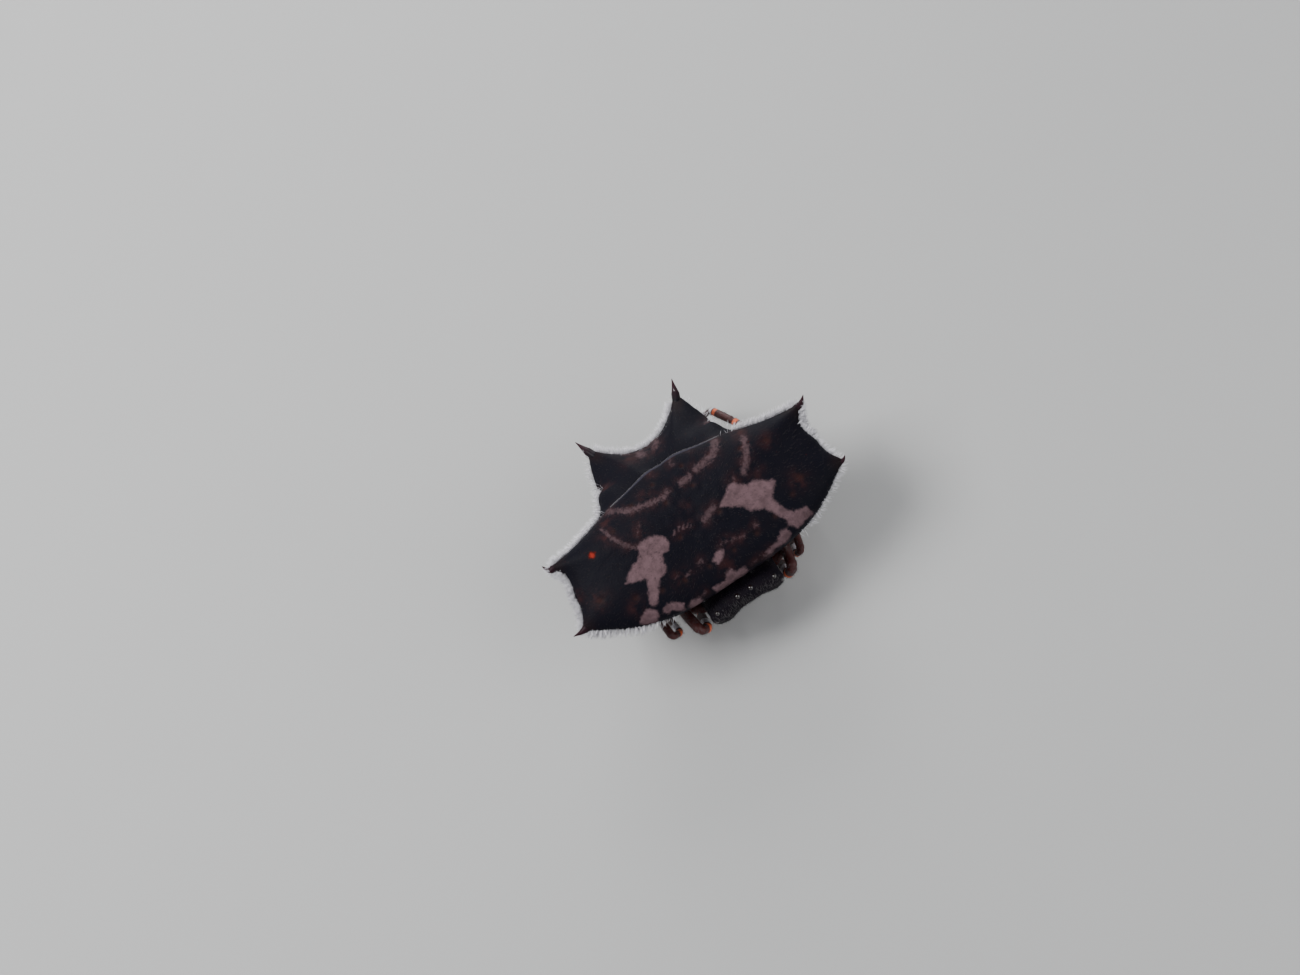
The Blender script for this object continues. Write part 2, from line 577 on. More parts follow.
def abdomen_place(way):
    """The skin's points in the disc's frame: body and cones along each direction from the core, the forward
    cones blunted where their spines take over, the web before each rear cone filled as a bell, lowered by the
    coat's room, the rim and the pits, and given folds and a soft unevenness that fades at the crest."""
    reach = body_reach(way) + sum(cone_reach(way, cone) for cone in CONES) + WEB["height"] * swell(way, WEB)
    mirrored = np.c_[np.abs(way[:, 0]), way[:, 1:]]
    for cone, blunting in zip(CONES, BLUNTING):
        reach -= blunting * bell(angle_from(mirrored, cone_axis(cone)), 0, BLUNT_ANGLE)
    place = way * reach[:, None] + CORE
    lateral, ahead, up = place.T
    lift = way[:, 2]
    uneven = 0.009 * ripples(place, 0.42, 3) + 0.014 * ripples(place, 1.5, 4)
    uneven *= 1 - bell(ahead, 0.12 * lateral**2 - 0.7, 0.45, 4) * (up > -0.2)
    folds = np.sin(up * 21 + 0.8 * ripples(place, 1.4, 5)) * past(-lift, 0.22, 0.05)
    reach += uneven * np.minimum(1, 3 * np.abs(lift) + 0.25) + FOLD_HEIGHT * folds
    reach -= COAT_ROOM + RIM_DROP * bell(lift, 0.01, 0.05)
    reach -= PIT_DROP * pit_depth(place) / np.maximum(lift, 0.25)
    return way * reach[:, None] + CORE


def abdomen_ways(cells):
    """Directions spread for a flat disc and drawn toward the six apexes, with the faces between them."""
    way, faces = cube_sphere(cells)
    way = unit(way * (1, 1, GRID_FLATNESS))
    for axis in cone_axes():
        pull = APEX_PULL * bell(angle_from(way, axis), 0, APEX_PULL_ANGLE)
        way = unit(way + pull[:, None] * (axis - way))
    return way, faces


def disc_map(way):
    """An unwrap of the abdomen's own shape: the directions upward on one disc, the others on another."""
    spread = way[:, :2] / (1 + np.abs(way[:, 2:]) * 1.6)
    return np.where(way[:, 2:] > 0, 0.25, 0.75) * (1, 0) + (0, 0.5) + 0.23 * spread


def line_distance(points, start, end):
    """Distance to the nearest of the lines from each start to its end."""
    side = end - start
    share = np.clip(((points[:, None] - start) * side).sum(-1) / (side**2).sum(-1), 0, 1)
    return np.linalg.norm(points[:, None] - start - share[..., None] * side, axis=-1).min(1)


def outline_distance(points, start):
    """Distance to the nearest side of a closed outline, negative where a way out crosses an odd number."""
    end = np.roll(start, -1, axis=0)
    run, rise = (end - start).T
    x, y = points[:, None, 0], points[:, None, 1]
    level = (start[:, 1] > y) != (end[:, 1] > y)
    left = x < run * (y - start[:, 1]) / np.where(rise == 0, 1e-9, rise) + start[:, 0]
    inside = (level & left).sum(1) % 2 == 1
    return np.where(inside, -1, 1) * line_distance(points, start, end)


def shell_fields(way, place):
    """The values that colour the abdomen: patches (distance in the view to the nearest, negative inside),
    bands (strength, less with the distance from their lines), pits, thin shell, red pit, underside, apexes
    and the crest, a narrow line at the back's hind edge. What shows in the photo is the back, the front rim
    and the slope from the hind edge to the rear cones."""
    lateral, ahead, up = place.T
    view = np.stack([lateral, ahead * np.cos(SEEN_PITCH) - up * np.sin(SEEN_PITCH)], -1)
    turn, lift = turn_and_lift(way)
    rise = way[:, 2]
    shown = (rise > -0.02) | ((rise > -0.16) & (ahead > 2.2)) | ((ahead < -1.2) & (up > -1.2))
    patches = [outline_distance(view, np.reshape(outline, (-1, 2)) / 100) for outline in PATCHES]
    strength, half_width = np.array([band[:2] for band in BANDS]).T[:, :, None]
    lines = [np.reshape(line, (-1, 2)) / 100 for _, _, line in BANDS]
    away = np.array([line_distance(view, line[:-1], line[1:]) for line in lines])
    thin = [0.75 * bell(away, 0, half_width + 0.14).max(0)]
    thin += [bell(np.linalg.norm(view - middle, axis=1), 0, radius) for *middle, radius in RUDDY]
    from_red = np.hypot(lateral - RED_PIT[0], ahead - RED_PIT[1]) / RED_PIT[2]
    apexes = [bell(angle_from(way, axis), 0, APEX_ANGLE) for axis in cone_axes()]
    return {
        "crest": bell(lift, CREST_LIFT - CREST_FALL * (turn + 90) ** 3, CREST_WIDTH) * past(-turn, 43, 2),
        "mark": np.where(shown, np.clip(np.min(patches, axis=0), -0.5, 1.0), 1.0),
        "band": np.where(shown, (strength * bell(away, 0, 1.15 * half_width)).max(0), 0.0),
        "pit": pit_depth(place),
        "thin": np.where(shown, np.max(thin, axis=0), 0.0),
        "red": bell(from_red, 0, 1.1, 2.5) * (rise > 0),
        "under": np.where(shown, 0.0, past(-rise, 0.2, 0.05)),
        "apex": np.max(apexes, axis=0),
    }


# Shader maths


class Value:
    """A value that changes over a surface: arithmetic on it adds Math nodes to its material."""

    def __init__(self, paint, socket):
        self.paint = paint
        self.socket = socket

    def math(self, operation, other):
        return self.paint.node("ShaderNodeMath", {0: self, 1: other}, operation=operation)

    def __add__(self, other):
        return self.math("ADD", other)

    def __sub__(self, other):
        return self.math("SUBTRACT", other)

    def __mul__(self, other):
        return self.math("MULTIPLY", other)


class Paint:
    """One material and the few ways in which its nodes are made."""

    def __init__(self, name):
        self.material = bpy.data.materials.new(name)
        self.material.use_nodes = True
        self.tree = self.material.node_tree
        self.place = self.node("ShaderNodeTexCoord", {}, "Object")

    def node(self, kind, inputs, output=0, **settings):
        """One output of a new node of a kind, with its settings and inputs."""
        node = self.tree.nodes.new(kind)
        for label, setting in settings.items():
            setattr(node, label, setting)
        self.fill(node, inputs)
        return Value(self, node.outputs[output])

    def fill(self, node, inputs):
        """Links a node's sockets to values, or sets them to numbers and colours."""
        for label, given in inputs.items():
            socket = node.inputs[label]
            if isinstance(given, Value):
                self.tree.links.new(given.socket, socket)
            else:
                socket.default_value = (*given, 1.0) if socket.type == "RGBA" else given

    def attribute(self, label):
        return self.node("ShaderNodeAttribute", {}, "Fac", attribute_name=label)

    def noise(self, size, detail=3.0, roughness=0.55):
        """Noise from 0 to 1 whose features are about this many millimetres across."""
        inputs = {"Vector": self.place, "Scale": 1 / (size * MM), "Detail": detail, "Roughness": roughness}
        return self.node("ShaderNodeTexNoise", inputs, "Fac")

    def cells(self, size):
        """Distance to the nearest of scattered points, about this many millimetres apart."""
        inputs = {"Vector": self.place, "Scale": 1 / (size * MM)}
        return self.node("ShaderNodeTexVoronoi", inputs, "Distance")

    def step(self, value, low, high):
        """A smooth step from 0 at low to 1 at high."""
        return self.node("ShaderNodeMapRange", {0: value, 1: low, 2: high}, interpolation_type="SMOOTHSTEP")

    def mix(self, share, first, second):
        """The first colour where the share is 0 and the second where it is 1."""
        return self.node("ShaderNodeMix", {0: share, 6: first, 7: second}, 2, data_type="RGBA")

    def bump(self, height, depth, strength=1.0):
        """A normal from a height, where 1 stands for this many millimetres."""
        inputs = {"Height": height, "Distance": depth * MM, "Strength": strength}
        return self.node("ShaderNodeBump", inputs, "Normal")

    def finish(self, **sockets):
        """Sets the shader's own sockets, named with underscores for spaces."""
        shader = self.tree.nodes["Principled BSDF"]
        self.fill(shader, {label.replace("_", " "): given for label, given in sockets.items()})
        return self.material


def shell_finish(settings):
    """Black grained shell with dusty patches, brushed bands, red-brown thin places and one red pit."""
    paint = Paint("black spiny shell")
    pale = settings.pale
    fine = paint.noise(0.05, 2.0) - 0.5
    edge = paint.attribute("mark") + (paint.noise(0.22, 4.0, 0.7) - 0.5) * 0.24 + fine * 0.08
    mark = paint.step(edge, 0.065, -0.065)
    dust = paint.mix(paint.step(paint.noise(0.3, 4.0, 0.65), 0.25, 0.7), pale * 0.68, pale * 1.18)
    brushed = paint.mix(paint.noise(0.09), pale * 0.3, pale * 0.85)
    colour = paint.mix(paint.noise(1.1), settings.black, (0.0065, 0.0055, 0.0085))
    thin = paint.attribute("thin") * paint.step(paint.noise(0.35), 0.3, 0.7)
    spots = paint.step(paint.cells(0.75), 0.24, 0.17) * paint.step(paint.attribute("under"), 0.6, 0.95)
    band = paint.step(paint.attribute("band") + (paint.noise(0.12, 4.0, 0.75) - 0.5) * 2.2, 0.2, 1.05)
    crest = paint.step(paint.attribute("crest") + (paint.noise(0.15) - 0.5) * 0.5, 0.25, 1.0)
    red = paint.attribute("red") + (paint.noise(0.14) - 0.5) * 1.2
    for share, over in (
        (thin * 0.55, settings.ruddy),
        (paint.attribute("pit") * 0.6, (0.03, 0.012, 0.01)),
        (spots, (0.36, 0.24, 0.12)),
        (paint.step(paint.attribute("apex"), 0.35, 1.0), (0.012, 0.0075, 0.009)),
        (band, brushed),
        (mark, dust),
        (crest, (0.034, 0.032, 0.047)),
        (paint.step(red, 0.2, 0.55) * 0.9, settings.spot * 0.22),
        (paint.step(red, 0.5, 1.0), settings.spot),
    ):
        colour = paint.mix(share, colour, over)
    grain = paint.cells(0.07) + paint.noise(0.03, 2.0) * 0.6 + mark * 0.5
    return paint.finish(
        Base_Color=colour,
        Roughness=paint.noise(0.4) * 0.2 + 0.42 + mark * 0.2,
        Normal=paint.bump(grain, settings.grain / MM),
        Specular_IOR_Level=0.045,
    )


def head_finish(settings):
    """Black grained head shell, a little brown where it is thin."""
    paint = Paint("black head shell")
    grain = paint.cells(0.06) + paint.noise(0.03, 2.0) * 0.7
    return paint.finish(
        Base_Color=paint.mix(paint.noise(0.5), settings.black, (0.015, 0.01, 0.013)),
        Roughness=paint.noise(0.25) * 0.2 + 0.36,
        Normal=paint.bump(grain, settings.grain / MM, 0.4),
        Specular_IOR_Level=0.04,
    )


def leg_finish(settings):
    """Dark red-brown segments with orange joints and pale bands."""
    paint = Paint("red-brown leg skin")
    uneven = (paint.noise(0.08) - 0.5) * 0.5
    colour = paint.mix(paint.noise(0.25), settings.red_brown, settings.red_brown * 0.3)
    for label, over in (("band", settings.band), ("joint", settings.orange)):
        colour = paint.mix(paint.step(paint.attribute(label) + uneven, 0.35, 0.65), colour, over)
    return paint.finish(
        Base_Color=colour,
        Roughness=paint.noise(0.2) * 0.25 + 0.35,
        Normal=paint.bump(paint.cells(0.05) + paint.noise(0.02, 2.0), 0.004),
        Specular_IOR_Level=0.3,
    )


def horn_finish():
    """Polished black horn that turns dark red to its point."""
    paint = Paint("dark horn")
    return paint.finish(
        Base_Color=paint.mix(paint.attribute("tip"), (0.007, 0.0062, 0.009), (0.032, 0.009, 0.014)),
        Roughness=paint.noise(0.1) * 0.2 + 0.3,
        Normal=paint.bump(paint.noise(0.04, 2.0), 0.003),
        Specular_IOR_Level=0.08,
    )


def eye_finish():
    """Wet black lens over an amber-brown depth."""
    paint = Paint("black eye")
    return paint.finish(
        Base_Color=paint.mix(paint.noise(0.1), (0.004, 0.003, 0.004), (0.018, 0.008, 0.006)),
        Roughness=paint.noise(0.05) * 0.03 + 0.04,
        Coat_Weight=1.0,
        Coat_Roughness=0.03,
    )


def hair_finish(settings):
    """Lilac-white hair where it stands out at the edges, and dark hair on the black."""
    paint = Paint("fine hair")
    pale = paint.attribute("pale") * (paint.noise(0.2) * 0.3 + 0.85)
    return paint.finish(
        Base_Color=paint.mix(pale, settings.dark, settings.colour),
        Roughness=paint.noise(0.3) * 0.2 + 0.5,
        Specular_IOR_Level=0.15,
    )


# Pieces


def spine(tip, cone, side, spread):
    """One thin spine along a curve from inside its cone through the cone's end to the tip. Its radius grows
    with the distance from the tip to the power 1.2 and shrinks again where the root lies deep."""
    axis = cone_axis(CONES[cone], side)
    apex = abdomen_place(axis[None])[0]
    apex[0] += REAR_SPINE_LEAN * side * (cone == 2)
    line = curve_through([apex - axis, apex - axis * 0.5, apex - axis * 0.02, tip], 48)
    along = length_along(line)
    growth = np.minimum((along[-1] - along) / spread, 1) ** 1.2
    radii = (SPINE_TIP_RADIUS + SPINE_GROWTH * growth) * np.clip(along / 0.6, 0.1, 1)
    point = np.clip(along / along[-1] * 1.6 - 0.6, 0, 1)
    return tube(to_world(line), radii, 18, (0.1, 0.2, 1), tip=point)


def head_surface(stations, rows, sides):
    """Superelliptic sections carried through the stations, drawn in to a pole at each end."""
    curve = curve_through([(0, y, (low + high) / 2, half, (high - low) / 2, power)
                           for y, half, low, high, power in stations], rows)
    ends = []
    for ring, way in ((curve[0], -1), (curve[-1], 1)):
        end = np.repeat(ring[None], len(END_SHARES), 0)
        end[:, 3:5] *= END_SHARES[:, None]
        end[:, 1] += way * END_LENGTH * np.sqrt(1 - END_SHARES**2)
        ends.append(end[::-way])
    curve = np.concatenate([ends[0], curve, ends[1]])
    _, y, middle, half_width, half_height, power = curve.T[:, :, None]
    turn = np.linspace(0, 2 * np.pi, sides, endpoint=False)
    across, rise = (np.sign(way) * np.abs(way) ** (2 / power) for way in (np.cos(turn), np.sin(turn)))
    return np.stack(np.broadcast_arrays(across * half_width, y, middle + rise * half_height), -1)


def hollowed(points):
    """Points at the head's front pushed back between its corners, by a flat-topped bell of the lateral
    distance that deepens toward the lower lip."""
    depth = HEAD_HOLLOW * bell(points[..., 0], 0.1, 0.75, 4) * past(-points[..., 1], 4.55, 0.06)
    depth = depth * (1 + 1.5 * np.clip((2.45 - points[..., 2]) / 0.4, 0, 1))
    return points + depth[..., None] * (0, 1, 0)


def head_relief(points):
    """Mounds under the eyes, a dimple for each lens, the furrow down the middle, the pit behind it and the
    neck, each a bell of the distance from its place, pushed out from a line inside the head."""
    x, y, z = points.T
    out = unit(points - np.stack([x * 0.6, np.clip(y, -4.2, -2.8), np.full(len(points), 2.15)], -1))
    height = 0.006 * ripples(points, 0.3, 11) + 0.01 * ripples(points, 0.8, 12)
    for place, radius in EYE_PLACES:
        away = np.linalg.norm(points - place, axis=1)
        height += 0.03 * (bell(away, 0, radius * 1.6, 4) - bell(away, 0, radius, 4))
    furrow = 0.05 * bell(x, 0, 0.09) * bell(y, -3.7, 0.5, 4)
    pit = 0.08 * bell(x, 0, 0.2) * bell(y, -3.05, 0.22)
    neck = 0.05 * bell(y, -3.45 - 0.18 * np.abs(x), 0.13)
    height -= (z > 2.2) * (furrow + pit + neck)
    return hollowed(points + out * height[:, None])


def leg_path(name):
    """The leg's middle line from inside the body to the claws, with corners rounded, how far along it each
    point lies, and where its six joints are."""
    coxa, trochanter, knee, shin, ankle, foot = np.reshape(LEGS[name], (-1, 3)) / 100
    femur, above = knee - trochanter, foot + (0, 0, 0.15)
    knots = np.array([
        coxa + (coxa - trochanter) * 0.12, coxa, coxa + (trochanter - coxa) * 0.72, trochanter,
        trochanter + femur * 0.35 + FEMUR_BOW, trochanter + femur * 0.7 + FEMUR_BOW, knee, shin,
        ankle + (shin - ankle) * 0.5 + (0, -0.02, 0.03), ankle, ankle + (above - ankle) * 0.52, above,
        foot + (0, 0, CLAW_DROP)])
    at = length_along(knots)
    along = np.linspace(0, at[-1], LEG_STEPS)
    line = np.stack([np.interp(along, at, column) for column in knots.T], -1)
    line = softened(line, CORNER_ROUNDING / along[1])
    line[:, 0] *= 1 if name.endswith("left") else -1
    return line, along, at[[2, 3, 6, 7, 9, 10]]


def leg_radii(along, joints):
    """Radius along a leg: each segment's own, fuller toward its far end, pinched at every joint."""
    ends = np.r_[0, joints, along[-1]]
    i = np.clip(np.searchsorted(ends, along, side="right") - 1, 0, len(LEG_RADII) - 1)
    share = (along - ends[i]) / (ends[i + 1] - ends[i])
    radii = LEG_RADII[i] * (0.93 + 0.09 * np.sin(np.pi * share) + 0.05 * share)
    away = np.abs(along[:, None] - joints)
    relief = (0.05 * bell(away, 0.12, 0.06) - 0.16 * bell(away, 0, 0.045)).sum(1)
    taper = np.interp(along, [ends[-2], along[-1]], [1.0, 0.62])
    return softened(radii[:, None], 4)[:, 0] * (1 + relief) * taper


def leg_colours(along, joints, in_front):
    """Orange at the hip, on the knee's far side, before the ankle and at the wrist, and pale bands: on the
    tibia of the two front pairs, and on every leg at the ankle and beyond the wrist."""
    hip, _, shin, ankle, wrist = joints[1:]
    knee_back, ankle_back, band_past = (0.08, 0.01, 0.15) if in_front else (0.15, 0.23, -0.04)
    joint = bell(along, hip, 0.05) * 0.7 + bell(along, wrist, 0.05) + bell(along, ankle - ankle_back, 0.08)
    joint += bell(along, shin - knee_back, 0.09 + 0.07 * in_front)
    band = bell(along, shin + 0.32, 0.2) * in_front + bell(along, ankle + band_past, 0.09)
    band += bell(along, wrist + 0.14, 0.07)
    return {"joint": np.clip(joint, 0, 1), "band": np.clip(band, 0, 1)}


def claw(line, turn):
    """One small hooked claw at the end of a leg's line."""
    heading = unit((line[-1] - line[-60]) * (1, 1, 0))
    side = np.array([-heading[1], heading[0], 0])
    way = unit(heading * np.cos(turn) + side * np.sin(turn))
    share = np.linspace(0, 1, 12)[:, None]
    hook = line[-1] * (1, 1, 0) + (0, 0, 0.03) + way * 0.16 * np.sin(share * 1.4)
    hook = hook + np.array([0, 0, 0.05]) * (np.cos(share * 1.9) - 0.15)
    radii = 0.026 * (1 - share[:, 0]) ** 0.8 + 0.005
    return tube(hook, radii, 8, (0.3, 0.2, 1), rounded=False, tip=np.full(12, 0.3))


def three_each(items, label, kind=np.float32):
    """Three numbers of every vertex or triangle."""
    values = np.empty(len(items) * 3, kind)
    items.foreach_get(label, values)
    return values.reshape(-1, 3)


def scattered(mesh, weights, count, draw):
    """Roots spread over a mesh at random, as often on a triangle as its area times its weight says.
    Gives places and normals in millimetres."""
    mesh.calc_loop_triangles()
    triangles = three_each(mesh.loop_triangles, "vertices", np.int32)
    corners = (three_each(mesh.vertices, "co") / MM)[triangles]
    normals = three_each(mesh.vertex_normals, "vector")[triangles]
    area = np.linalg.norm(np.cross(corners[:, 1] - corners[:, 0], corners[:, 2] - corners[:, 0]), axis=1)
    chance = area * weights(corners.mean(1), unit(normals.mean(1)))
    chosen = np.searchsorted(np.cumsum(chance) / chance.sum(), draw.uniform(0, 1, count))
    chosen = np.minimum(chosen, len(triangles) - 1)
    share = np.sqrt(draw.uniform(0, 1, (count, 1)))
    split = draw.uniform(0, 1, (count, 1))
    weight = np.stack([1 - share, share * (1 - split), share * split], 1)
    return (corners[chosen] * weight).sum(1), unit((normals[chosen] * weight).sum(1))


def hairs(roots, normals, lie, length, radius, homes, pale):
    """Three-sided tapering hairs as a part: a sunk ring, a ring half way and a point, bent toward the skin.
    With it comes its unwrap, where each hair is one small patch at its root's own place."""
    way = unit(lie)
    bent = unit(way + unit(np.cross(way, np.cross(way, normals))) * 0.35)
    first = unit(np.cross(way, (0.31, 0.52, 0.79)))
    turn = np.radians([0, 120, 240])[None, :, None]
    ring = np.cos(turn) * first[:, None] + np.sin(turn) * np.cross(way, first)[:, None]
    ring *= radius[:, None, None]
    half = roots + way * length[:, None] * 0.5
    tip = half + bent * length[:, None] * 0.5
    low = (roots - way * 0.03)[:, None] + ring
    points = np.concatenate([low, half[:, None] + ring * 0.8, tip[:, None]], 1).reshape(-1, 3)
    quads = np.array([[0, 1, 4, 3], [1, 2, 5, 4], [2, 0, 3, 5]])
    fans = np.array([[3, 4, 6], [4, 5, 6], [5, 3, 6], [0, 2, 1]])
    start = np.arange(len(roots))[:, None, None] * 7
    faces = outward(points, [(quads + start).reshape(-1, 4), (fans + start).reshape(-1, 3)])
    corners = np.array([(0, 0), (1, 0), (0.5, 0.8), (0, 0.6), (1, 0.6), (0.5, 1.2), (0.5, 1.8)])
    corners -= (0.5, 0.9)
    patches = (homes[:, None] + corners * HAIR_PATCH).reshape(-1, 2)
    return (points, faces, {"pale": np.repeat(pale, 7)}), patches


# Operators


class PieceOperator(bpy.types.Operator):
    """Shared options of every operator here."""

    bl_options = {"REGISTER", "UNDO"}


class WEAVER_OT_abdomen(PieceOperator):
    """Makes the abdomen's skin: one closed shell with six hollow-flanked cones, pits and folds"""

    bl_idname = "weaver.abdomen"
    bl_label = "Abdomen"

    def execute(self, context):
        shell = context.scene.weaver_shell
        way, faces = abdomen_ways(shell.cells)
        place = abdomen_place(way)
        points = to_world(place)
        skin = points, outward(points, [faces]), shell_fields(way, place)
        add_piece("abdomen_skin", skin, shell_finish(shell), ["abdomen"])
        return {"FINISHED"}


class WEAVER_OT_spines(PieceOperator):
    """Makes the six thin spines on the cones"""

    bl_idname = "weaver.spines"
    bl_label = "Spines"

    def execute(self, context):
        add_piece("horn_spines", joined([spine(*spot) for spot in SPINES]), horn_finish())
        return {"FINISHED"}


class WEAVER_OT_head(PieceOperator):
    """Makes the head and chest shell, its breastplate and the narrow waist"""

    bl_idname = "weaver.head"
    bl_label = "Head and chest"

    def execute(self, context):
        finish = head_finish(context.scene.weaver_shell)
        top, top_faces = closed_grid(head_surface(CARAPACE, 150, 220))
        under, under_faces = closed_grid(head_surface(STERNUM, 60, 90))
        shell = joined([(figure(head_relief(top)), top_faces, {}), (figure(under), under_faces, {})])
        add_piece("head_shell", shell, finish, ["cephalothorax"])
        radii = 0.16 + 0.05 * np.cos(np.linspace(0, 6 * np.pi, 24)) ** 2
        waist = tube(figure(curve_through(WAIST, 24)), radii, 24, rounded=False)
        add_piece("waist", waist, finish, ["pedicel"])
        return {"FINISHED"}


class WEAVER_OT_mouthparts(PieceOperator):
    """Makes the two jaws with their fangs and the two palps"""

    bl_idname = "weaver.mouthparts"
    bl_label = "Jaws and palps"

    def execute(self, context):
        jaws, fangs, palps = [], [], []
        for side in (-1, 1):
            curve = curve_through(CHELICERA, 60) * (side, 1, 1, 1)
            jaws.append(tube(figure(curve[:, :3]), curve[:, 3], 40))
            share = np.linspace(0, 1, 20)
            line = FANG_ROOT + np.outer(share, (-0.18, -0.04, -0.02))
            line += np.outer(np.sin(share * np.pi), (0, -0.03, -0.07))
            radii = 0.055 * (1 - share) ** 0.6 + 0.006
            fangs.append(tube(figure(line * (side, 1, 1)), radii, 14, (0, 1, 0), rounded=False, tip=share))
            curve = curve_through(PALP, 120) * (side, 1, 1, 1)
            along = length_along(curve[:, :3])
            away = np.abs(along[:, None] - PALP_JOINTS * along[-1])
            radii = curve[:, 3] * (1 - 0.2 * bell(away, 0, 0.04).sum(1)) * 0.9
            joint, band = bell(away, 0, 0.05).max(1) * 0.8, bell(along, 0.8 * along[-1], 0.06)
            palps.append(tube(figure(curve[:, :3]), radii, 28, (1, 0.2, 0), joint=joint, band=band))
        shell, legs = head_finish(context.scene.weaver_shell), leg_finish(context.scene.weaver_legs)
        add_piece("jaws", joined(jaws), shell, ["chelicera_left", "chelicera_right"])
        add_piece("fangs", joined(fangs), horn_finish())
        add_piece("palps", joined(palps), legs, ["palp_left", "palp_right"])
        return {"FINISHED"}


class WEAVER_OT_eyes(PieceOperator):
    """Makes the eight eyes as smooth lenses sunk in their mounds"""

    bl_idname = "weaver.eyes"
    bl_label = "Eyes"

    def execute(self, context):
        way, faces = cube_sphere(20)
        points, faces, _ = joined([(figure(way * radius * 0.98 + hollowed(place)), [faces], {})
                                   for place, radius in EYE_PLACES])
        nodes = [f"{name}_{label}" for name in EYES for label in ("left", "right")]
        add_piece("eyes", (points, outward(points, faces), {}), eye_finish(), nodes)
        return {"FINISHED"}


class WEAVER_OT_legs(PieceOperator):
    """Makes each leg as one skin from the chest to the claws"""

    bl_idname = "weaver.legs"
    bl_label = "Legs"

    def execute(self, context):
        finish = leg_finish(context.scene.weaver_legs)
        claws = []
        for name in LEGS:
            line, along, joints = leg_path(name)
            radii = leg_radii(along, joints) * LEG_GIRTH[name[0]]
            hint = np.linalg.svd(line - line.mean(0))[2][2]
            line = figure(line)
            skin = tube(line, radii, 40, hint, LEG_FLATNESS, **leg_colours(along, joints, name[0] in "12"))
            skin[0][:, 2] = np.maximum(skin[0][:, 2], FOOT_HEIGHT)
            nodes = [f"leg_{name}_{part}" for part in ("upper", "middle", "foot")]
            add_piece(f"leg_skin_{name}", skin, finish, nodes)
            claws += [claw(line, turn) for turn in (-0.5, 0.5)]
        add_piece("claws", joined(claws), horn_finish())
        return {"FINISHED"}


class WEAVER_OT_spinnerets(PieceOperator):
    """Makes the ring of spinnerets under the belly"""

    bl_idname = "weaver.spinnerets"
    bl_label = "Spinnerets"

    def execute(self, context):
        low, high = (np.array(corner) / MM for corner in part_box("spinnerets"))
        middle, (width, _, drop) = (low + high) / 2 * (1, 1, 0), high - low
        share = np.linspace(0, 1, 24)
        line = middle + (0, 0, high[2] + 0.12) - np.outer(share, (0, 0, drop * 0.75))
        parts = [tube(line, width / 2 * (1.0 - 0.2 * share - 0.05 * np.cos(share * 30) ** 2), 40)]
        for turn, size in ((45, 1), (135, 1), (225, 1), (315, 1), (0, 0.6), (180, 0.6)):
            out = np.array([np.cos(np.radians(turn)), np.sin(np.radians(turn)), 0])
            start = middle + out * width * 0.21 + (0, 0, low[2] + 0.17)
            line = start - np.outer(share, out * 0.06 + (0, 0, 0.165))
            parts.append(tube(line, 0.1 * size * (1 - 0.35 * share), 20))
        finish = head_finish(context.scene.weaver_shell)
        add_piece("spinneret_ring", joined(parts), finish, ["spinnerets"])
        return {"FINISHED"}


